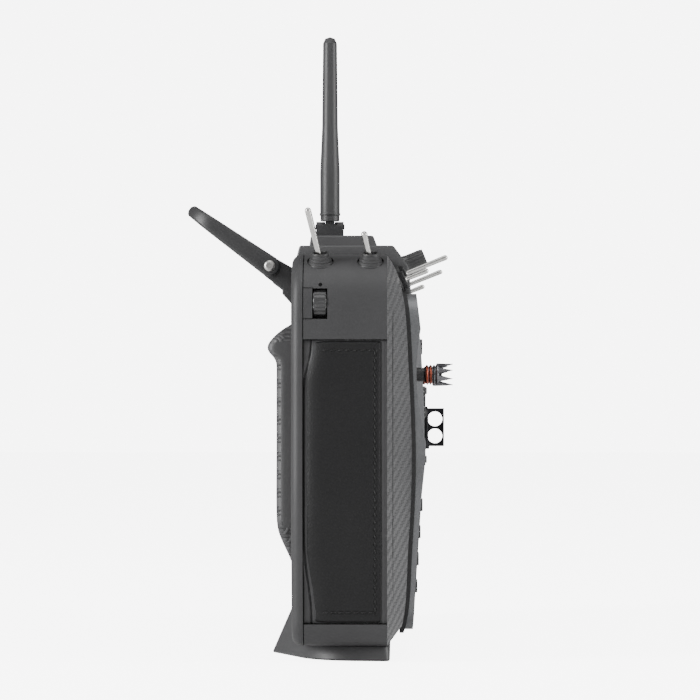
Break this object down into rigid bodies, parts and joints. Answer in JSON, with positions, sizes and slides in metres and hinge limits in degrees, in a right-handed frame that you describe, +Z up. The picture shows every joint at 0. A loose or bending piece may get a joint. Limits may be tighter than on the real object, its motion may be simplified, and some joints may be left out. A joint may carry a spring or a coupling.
{
  "type": "radio transmitter controller",
  "caption": "Hand-held radio transmitter for flying models: leather-sided case with two stick gimbals, a screen, toggle switches, keys, a folding antenna, a carry handle and a stand foot.",
  "frame": {"origin": "centre of the stand foot's flat underside", "axes": "+Z up, front face towards -Y, width along X with +X on the right of a person facing the front"},
  "size_m": [0.287, 0.1163, 0.274],
  "materials": {
    "shell_plastic": "fine moulded texture",
    "face_plastic": "satin",
    "trim_plastic": "matt black",
    "control_plastic": "satin",
    "grip_leather": "stitched pebble grain",
    "grip_rubber": "woven-look moulded grip",
    "antenna_rubber": "satin",
    "nut_rubber": "matt",
    "lever_chrome": "polished",
    "screw_steel": "turned",
    "black_screw": "black oxide",
    "hook_metal": "matt black",
    "gimbal_aluminium": "machined",
    "stick_metal": "black anodised",
    "screen_glass": "polished",
    "screen_panel": "dark display",
    "board": "solder resist",
    "cell_wrap": "shrink wrap"
  },
  "bodies": {
    "case": {"front_shell": "shell_plastic", "rear_shell": "shell_plastic", "face_panel": "face_plastic", "front_gasket": "trim_plastic", "top_housing": "shell_plastic", "side_panels": "shell_plastic", "stand_foot": "shell_plastic", "neck_strap_hook": "hook_metal", "handle_lugs": "shell_plastic", "switch_nuts": "nut_rubber", "case_screws": "black_screw", "gimbal_frames": "trim_plastic", "lcd_module": "screen_panel", "screen_lens": "screen_glass", "main_board": "board", "battery_cells": "cell_wrap", "side_grip_left": "grip_leather", "side_grip_right": "grip_leather", "rear_grip_left": "grip_rubber", "rear_grip_right": "grip_rubber"},
    "antenna_swivel": {"antenna_swivel": "trim_plastic"},
    "antenna_rod": {"antenna_rod": "antenna_rubber"},
    "handle": {"handle": "shell_plastic", "handle_screws": "screw_steel"},
    "scroll_wheel": {"scroll_wheel": "control_plastic"},
    "gimbal_yoke_left": {"gimbal_yoke_left": "gimbal_aluminium"},
    "stick_left": {"stick_left": "stick_metal", "stick_end_left": "stick_metal"},
    "knob_left": {"knob_left": "control_plastic"},
    "side_lever_left": {"side_lever_left": "control_plastic"},
    "toggle_rear_left": {"toggle_rear_left": "lever_chrome"},
    "toggle_top_left": {"toggle_top_left": "lever_chrome"},
    "toggle_long_left": {"toggle_long_left": "lever_chrome"},
    "toggle_short_left": {"toggle_short_left": "lever_chrome"},
    "trim_upright_left": {"trim_upright_left": "control_plastic"},
    "trim_level_left": {"trim_level_left": "control_plastic"},
    "gimbal_yoke_right": {"gimbal_yoke_right": "gimbal_aluminium"},
    "stick_right": {"stick_right": "stick_metal", "stick_end_right": "stick_metal"},
    "knob_right": {"knob_right": "control_plastic"},
    "side_lever_right": {"side_lever_right": "control_plastic"},
    "toggle_rear_right": {"toggle_rear_right": "lever_chrome"},
    "toggle_top_right": {"toggle_top_right": "lever_chrome"},
    "toggle_long_right": {"toggle_long_right": "lever_chrome"},
    "toggle_short_right": {"toggle_short_right": "lever_chrome"},
    "trim_upright_right": {"trim_upright_right": "control_plastic"},
    "trim_level_right": {"trim_level_right": "control_plastic"},
    "mode_button_1": {"mode_button_1": "control_plastic"},
    "mode_button_2": {"mode_button_2": "control_plastic"},
    "mode_button_3": {"mode_button_3": "control_plastic"},
    "mode_button_4": {"mode_button_4": "control_plastic"},
    "mode_button_5": {"mode_button_5": "control_plastic"},
    "mode_button_6": {"mode_button_6": "control_plastic"},
    "menu_key_1": {"menu_key_1": "control_plastic"},
    "menu_key_2": {"menu_key_2": "control_plastic"},
    "menu_key_3": {"menu_key_3": "control_plastic"},
    "menu_key_4": {"menu_key_4": "control_plastic"},
    "page_key": {"page_key": "control_plastic"},
    "return_key": {"return_key": "control_plastic"},
    "power_button": {"power_button": "control_plastic"}
  },
  "joints": [
    {"name": "antenna_turn", "type": "hinge", "parent": "case", "child": "antenna_swivel", "pos_m": [0, 0.0019, 0.182], "axis": [0, 0, 1], "range_deg": [-180, 0]},
    {"name": "antenna_fold", "type": "hinge", "parent": "antenna_swivel", "child": "antenna_rod", "pos_m": [0, 0.0019, 0.1875], "axis": [0, 1, 0], "range_deg": [0, 90]},
    {"name": "handle_fold", "type": "hinge", "parent": "case", "child": "handle", "pos_m": [0, 0.0272, 0.1677], "axis": [1, 0, 0], "range_deg": [-120, 0]},
    {"name": "scroll_turn", "type": "hinge", "parent": "case", "child": "scroll_wheel", "pos_m": [0.066, -0.03241, 0.05], "axis": [1, 0, 0], "continuous": true},
    {"name": "stick_tip_left", "type": "hinge", "parent": "case", "child": "gimbal_yoke_left", "pos_m": [-0.076, -0.013, 0.12], "axis": [1, 0, 0], "range_deg": [-25, 25]},
    {"name": "stick_swing_left", "type": "hinge", "parent": "gimbal_yoke_left", "child": "stick_left", "pos_m": [-0.076, -0.013, 0.12], "axis": [0, 0, 1], "range_deg": [-25, 25], "stiffness_Nm_per_rad": 0.06},
    {"name": "knob_turn_left", "type": "hinge", "parent": "case", "child": "knob_left", "pos_m": [-0.045, -0.0409, 0.1724], "axis": [0, -0.9205, 0.3907], "range_deg": [-140, 140]},
    {"name": "side_lever_turn_left", "type": "hinge", "parent": "case", "child": "side_lever_left", "pos_m": [-0.1367, 0.0032, 0.1489], "axis": [0, 1, 0], "range_deg": [-25, 25]},
    {"name": "toggle_rear_left_flip", "type": "hinge", "parent": "case", "child": "toggle_rear_left", "pos_m": [-0.13035, 0.0032, 0.16675], "axis": [1, 0, 0], "range_deg": [0, 26]},
    {"name": "toggle_top_left_flip", "type": "hinge", "parent": "case", "child": "toggle_top_left", "pos_m": [-0.13035, -0.0176, 0.16675], "axis": [1, 0, 0], "range_deg": [0, 26]},
    {"name": "toggle_long_left_flip", "type": "hinge", "parent": "case", "child": "toggle_long_left", "pos_m": [-0.086, -0.03122, 0.16274], "axis": [1, 0, 0], "range_deg": [-12, 12]},
    {"name": "toggle_short_left_flip", "type": "hinge", "parent": "case", "child": "toggle_short_left", "pos_m": [-0.107, -0.03092, 0.15954], "axis": [1, 0, 0], "range_deg": [-12, 12]},
    {"name": "trim_upright_left_rock", "type": "hinge", "parent": "case", "child": "trim_upright_left", "pos_m": [-0.017, -0.03994, 0.108], "axis": [1, 0, 0], "range_deg": [-4, 4], "stiffness_Nm_per_rad": 0.02},
    {"name": "trim_level_left_rock", "type": "hinge", "parent": "case", "child": "trim_level_left", "pos_m": [-0.03, -0.03975, 0.0825], "axis": [0, 0, 1], "range_deg": [-4, 4], "stiffness_Nm_per_rad": 0.02},
    {"name": "stick_tip_right", "type": "hinge", "parent": "case", "child": "gimbal_yoke_right", "pos_m": [0.076, -0.013, 0.12], "axis": [1, 0, 0], "range_deg": [-25, 25], "stiffness_Nm_per_rad": 0.06},
    {"name": "stick_swing_right", "type": "hinge", "parent": "gimbal_yoke_right", "child": "stick_right", "pos_m": [0.076, -0.013, 0.12], "axis": [0, 0, 1], "range_deg": [-25, 25], "stiffness_Nm_per_rad": 0.06},
    {"name": "knob_turn_right", "type": "hinge", "parent": "case", "child": "knob_right", "pos_m": [0.045, -0.0409, 0.1724], "axis": [0, -0.9205, 0.3907], "range_deg": [-140, 140]},
    {"name": "side_lever_turn_right", "type": "hinge", "parent": "case", "child": "side_lever_right", "pos_m": [0.1367, 0.0032, 0.1489], "axis": [0, 1, 0], "range_deg": [-25, 25]},
    {"name": "toggle_rear_right_flip", "type": "hinge", "parent": "case", "child": "toggle_rear_right", "pos_m": [0.13035, 0.0032, 0.16675], "axis": [1, 0, 0], "range_deg": [0, 26]},
    {"name": "toggle_top_right_flip", "type": "hinge", "parent": "case", "child": "toggle_top_right", "pos_m": [0.13035, -0.0176, 0.16675], "axis": [1, 0, 0], "range_deg": [0, 26]},
    {"name": "toggle_long_right_flip", "type": "hinge", "parent": "case", "child": "toggle_long_right", "pos_m": [0.086, -0.03122, 0.16274], "axis": [1, 0, 0], "range_deg": [-12, 12]},
    {"name": "toggle_short_right_flip", "type": "hinge", "parent": "case", "child": "toggle_short_right", "pos_m": [0.107, -0.03092, 0.15954], "axis": [1, 0, 0], "range_deg": [-12, 12]},
    {"name": "trim_upright_right_rock", "type": "hinge", "parent": "case", "child": "trim_upright_right", "pos_m": [0.017, -0.03994, 0.108], "axis": [1, 0, 0], "range_deg": [-4, 4], "stiffness_Nm_per_rad": 0.02},
    {"name": "trim_level_right_rock", "type": "hinge", "parent": "case", "child": "trim_level_right", "pos_m": [0.03, -0.03975, 0.0825], "axis": [0, 0, 1], "range_deg": [-4, 4], "stiffness_Nm_per_rad": 0.02},
    {"name": "mode_button_1_press", "type": "slide", "parent": "case", "child": "mode_button_1", "axis": [0, 1, 0], "range_m": [0, 0.0008], "stiffness_N_per_m": 400},
    {"name": "mode_button_2_press", "type": "slide", "parent": "case", "child": "mode_button_2", "axis": [0, 1, 0], "range_m": [0, 0.0008], "stiffness_N_per_m": 400},
    {"name": "mode_button_3_press", "type": "slide", "parent": "case", "child": "mode_button_3", "axis": [0, 1, 0], "range_m": [0, 0.0008], "stiffness_N_per_m": 400},
    {"name": "mode_button_4_press", "type": "slide", "parent": "case", "child": "mode_button_4", "axis": [0, 1, 0], "range_m": [0, 0.0008], "stiffness_N_per_m": 400},
    {"name": "mode_button_5_press", "type": "slide", "parent": "case", "child": "mode_button_5", "axis": [0, 1, 0], "range_m": [0, 0.0008], "stiffness_N_per_m": 400},
    {"name": "mode_button_6_press", "type": "slide", "parent": "case", "child": "mode_button_6", "axis": [0, 1, 0], "range_m": [0, 0.0008], "stiffness_N_per_m": 400},
    {"name": "menu_key_1_press", "type": "slide", "parent": "case", "child": "menu_key_1", "axis": [0, 1, 0], "range_m": [0, 0.0008], "stiffness_N_per_m": 400},
    {"name": "menu_key_2_press", "type": "slide", "parent": "case", "child": "menu_key_2", "axis": [0, 1, 0], "range_m": [0, 0.0008], "stiffness_N_per_m": 400},
    {"name": "menu_key_3_press", "type": "slide", "parent": "case", "child": "menu_key_3", "axis": [0, 1, 0], "range_m": [0, 0.0008], "stiffness_N_per_m": 400},
    {"name": "menu_key_4_press", "type": "slide", "parent": "case", "child": "menu_key_4", "axis": [0, 1, 0], "range_m": [0, 0.0008], "stiffness_N_per_m": 400},
    {"name": "page_key_press", "type": "slide", "parent": "case", "child": "page_key", "axis": [0, 1, 0], "range_m": [0, 0.0008], "stiffness_N_per_m": 400},
    {"name": "return_key_press", "type": "slide", "parent": "case", "child": "return_key", "axis": [0, 1, 0], "range_m": [0, 0.0008], "stiffness_N_per_m": 400},
    {"name": "power_button_press", "type": "slide", "parent": "case", "child": "power_button", "axis": [0, 1, 0], "range_m": [0, 0.0005], "stiffness_N_per_m": 400}
  ]
}
